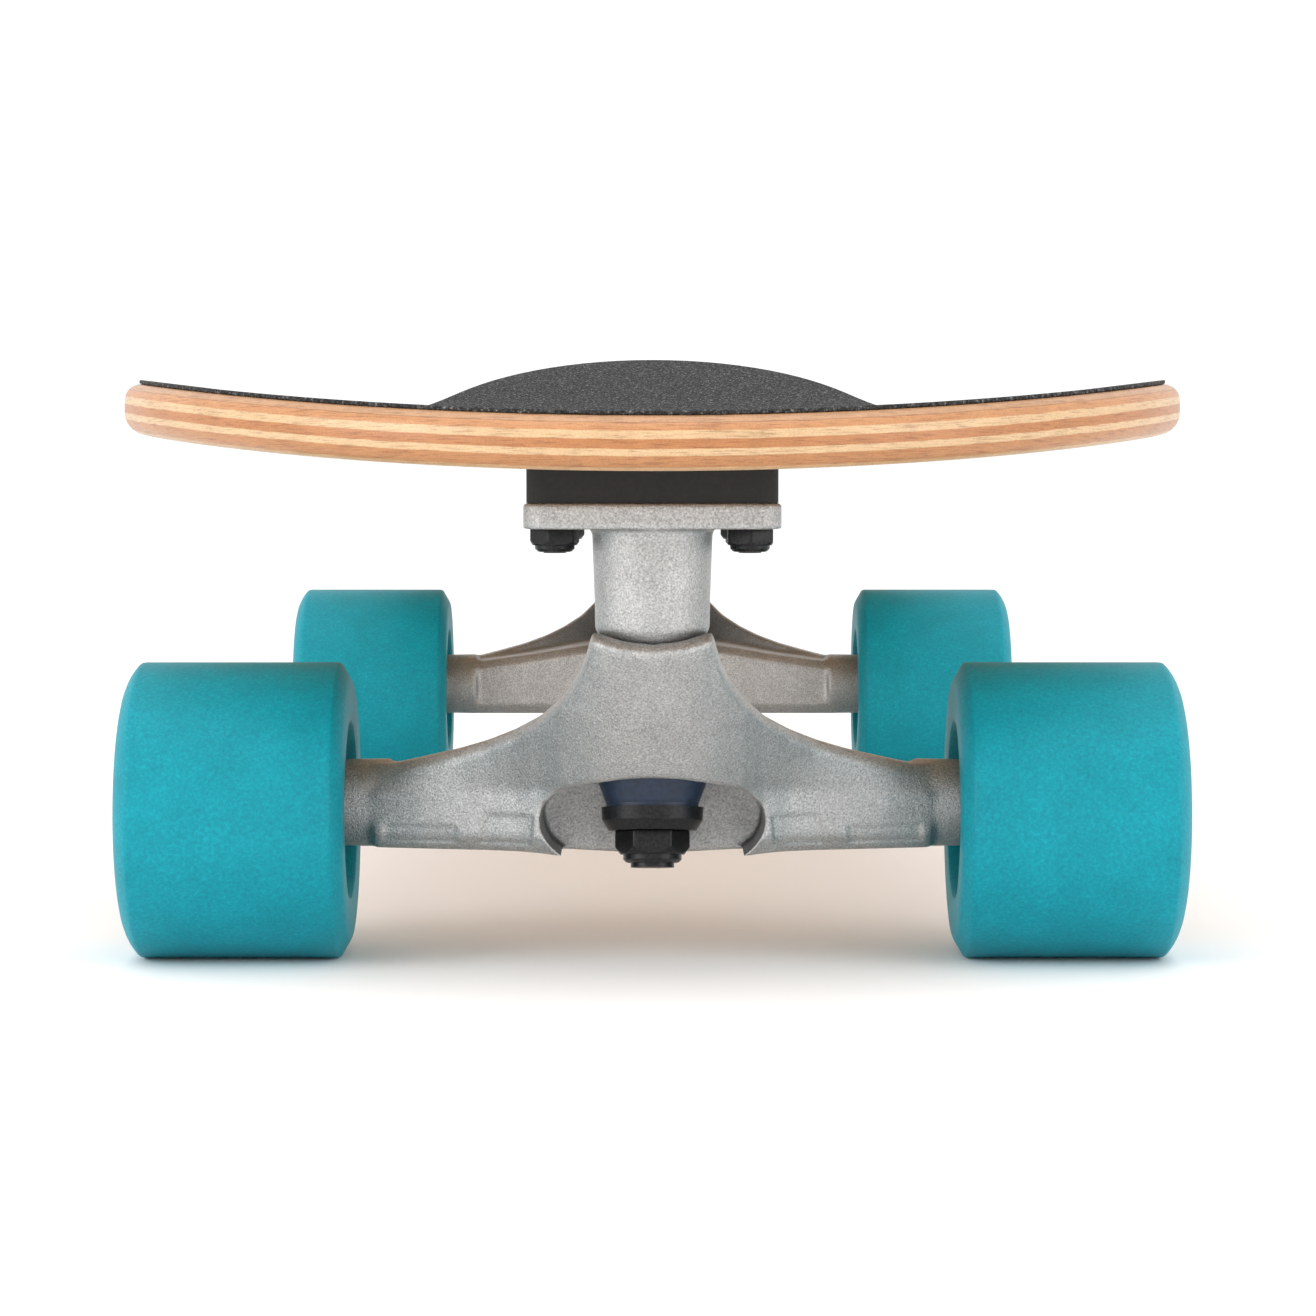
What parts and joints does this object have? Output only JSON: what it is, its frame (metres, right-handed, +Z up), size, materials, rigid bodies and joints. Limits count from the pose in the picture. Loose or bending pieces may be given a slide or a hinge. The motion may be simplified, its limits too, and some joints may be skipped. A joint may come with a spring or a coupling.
{
  "type": "skateboard",
  "caption": "Cruiser skateboard with a concave seven-ply kicktail deck, grip tape, risers, two cast trucks and soft urethane wheels that steer and roll.",
  "frame": {"origin": "middle of the overall box in plan, on the floor the wheels stand on", "axes": "+Z up, Y along the board with the nose at -Y and the kicktail at +Y, X across the board"},
  "size_m": [0.2414, 0.692, 0.1462],
  "materials": {
    "maple": "satin clear lacquer over seven plies",
    "grip": "black abrasive grains on a thin sheet",
    "riser_rubber": "matt black",
    "black_steel": "black oxide, satin",
    "cast_aluminium": "fine sand-cast satin",
    "black_urethane": "matt",
    "plated_steel": "bright plated",
    "navy_urethane": "satin navy blue",
    "bearing_steel": "ground",
    "teal_urethane": "matt teal with a fine speckle",
    "bearing_shield": "thin pressed steel",
    "bearing_cage": "pressed"
  },
  "bodies": {
    "board": {"deck": "maple", "grip_tape": "grip", "front_riser": "riser_rubber", "front_mounting_bolts": "black_steel", "front_mounting_nuts": "black_steel", "front_baseplate": "cast_aluminium", "front_pivot_cup": "black_urethane", "front_kingpin": "black_steel", "front_top_bushing": "navy_urethane", "front_bottom_bushing": "navy_urethane", "front_top_washer": "black_steel", "front_bottom_washer": "black_steel", "front_kingpin_nut": "black_steel", "rear_riser": "riser_rubber", "rear_mounting_bolts": "black_steel", "rear_mounting_nuts": "black_steel", "rear_baseplate": "cast_aluminium", "rear_pivot_cup": "black_urethane", "rear_kingpin": "black_steel", "rear_top_bushing": "navy_urethane", "rear_bottom_bushing": "navy_urethane", "rear_top_washer": "black_steel", "rear_bottom_washer": "black_steel", "rear_kingpin_nut": "black_steel"},
    "front_hanger_body": {"front_hanger": "cast_aluminium", "front_axle": "plated_steel", "front_bearing_spacers": "bearing_steel", "front_speed_washers": "plated_steel", "front_axle_nuts": "plated_steel", "front_bearing_inner_races": "bearing_steel"},
    "front_left_wheel_body": {"front_left_wheel": "teal_urethane", "front_left_bearing_outer_races": "bearing_steel", "front_left_bearing_shields": "bearing_shield"},
    "front_left_cage_body": {"front_left_bearing_cages": "bearing_cage", "front_left_bearing_balls": "bearing_steel"},
    "front_right_wheel_body": {"front_right_wheel": "teal_urethane", "front_right_bearing_outer_races": "bearing_steel", "front_right_bearing_shields": "bearing_shield"},
    "front_right_cage_body": {"front_right_bearing_cages": "bearing_cage", "front_right_bearing_balls": "bearing_steel"},
    "rear_hanger_body": {"rear_hanger": "cast_aluminium", "rear_axle": "plated_steel", "rear_bearing_spacers": "bearing_steel", "rear_speed_washers": "plated_steel", "rear_axle_nuts": "plated_steel", "rear_bearing_inner_races": "bearing_steel"},
    "rear_left_wheel_body": {"rear_left_wheel": "teal_urethane", "rear_left_bearing_outer_races": "bearing_steel", "rear_left_bearing_shields": "bearing_shield"},
    "rear_left_cage_body": {"rear_left_bearing_cages": "bearing_cage", "rear_left_bearing_balls": "bearing_steel"},
    "rear_right_wheel_body": {"rear_right_wheel": "teal_urethane", "rear_right_bearing_outer_races": "bearing_steel", "rear_right_bearing_shields": "bearing_shield"},
    "rear_right_cage_body": {"rear_right_bearing_cages": "bearing_cage", "rear_right_bearing_balls": "bearing_steel"}
  },
  "joints": [
    {"name": "front_steer", "type": "hinge", "parent": "board", "child": "front_hanger_body", "pos_m": [0, -0.297, 0.082], "axis": [0, -0.657, 0.7539], "range_deg": [-20, 20], "stiffness_Nm_per_rad": 40, "deforming": ["front_bottom_bushing", "front_top_bushing"]},
    {"name": "front_left_wheel_roll", "type": "hinge", "parent": "front_hanger_body", "child": "front_left_wheel_body", "pos_m": [0, -0.251, 0.033], "axis": [1, 0, 0], "continuous": true},
    {"name": "front_left_cage_roll", "type": "hinge", "parent": "front_hanger_body", "child": "front_left_cage_body", "pos_m": [0, -0.251, 0.033], "axis": [1, 0, 0], "continuous": true},
    {"name": "front_right_wheel_roll", "type": "hinge", "parent": "front_hanger_body", "child": "front_right_wheel_body", "pos_m": [0, -0.251, 0.033], "axis": [1, 0, 0], "continuous": true},
    {"name": "front_right_cage_roll", "type": "hinge", "parent": "front_hanger_body", "child": "front_right_cage_body", "pos_m": [0, -0.251, 0.033], "axis": [1, 0, 0], "continuous": true},
    {"name": "rear_steer", "type": "hinge", "parent": "board", "child": "rear_hanger_body", "pos_m": [0, 0.227, 0.082], "axis": [0, 0.657, 0.7539], "range_deg": [-20, 20], "stiffness_Nm_per_rad": 40, "deforming": ["rear_bottom_bushing", "rear_top_bushing"]},
    {"name": "rear_left_wheel_roll", "type": "hinge", "parent": "rear_hanger_body", "child": "rear_left_wheel_body", "pos_m": [0, 0.181, 0.033], "axis": [1, 0, 0], "continuous": true},
    {"name": "rear_left_cage_roll", "type": "hinge", "parent": "rear_hanger_body", "child": "rear_left_cage_body", "pos_m": [0, 0.181, 0.033], "axis": [1, 0, 0], "continuous": true},
    {"name": "rear_right_wheel_roll", "type": "hinge", "parent": "rear_hanger_body", "child": "rear_right_wheel_body", "pos_m": [0, 0.181, 0.033], "axis": [1, 0, 0], "continuous": true},
    {"name": "rear_right_cage_roll", "type": "hinge", "parent": "rear_hanger_body", "child": "rear_right_cage_body", "pos_m": [0, 0.181, 0.033], "axis": [1, 0, 0], "continuous": true}
  ],
  "couplings": [
    {"joint": "front_left_cage_roll", "follows": "front_left_wheel_roll", "ratio": 0.6314},
    {"joint": "front_right_cage_roll", "follows": "front_right_wheel_roll", "ratio": 0.6314},
    {"joint": "rear_left_cage_roll", "follows": "rear_left_wheel_roll", "ratio": 0.6314},
    {"joint": "rear_right_cage_roll", "follows": "rear_right_wheel_roll", "ratio": 0.6314}
  ]
}
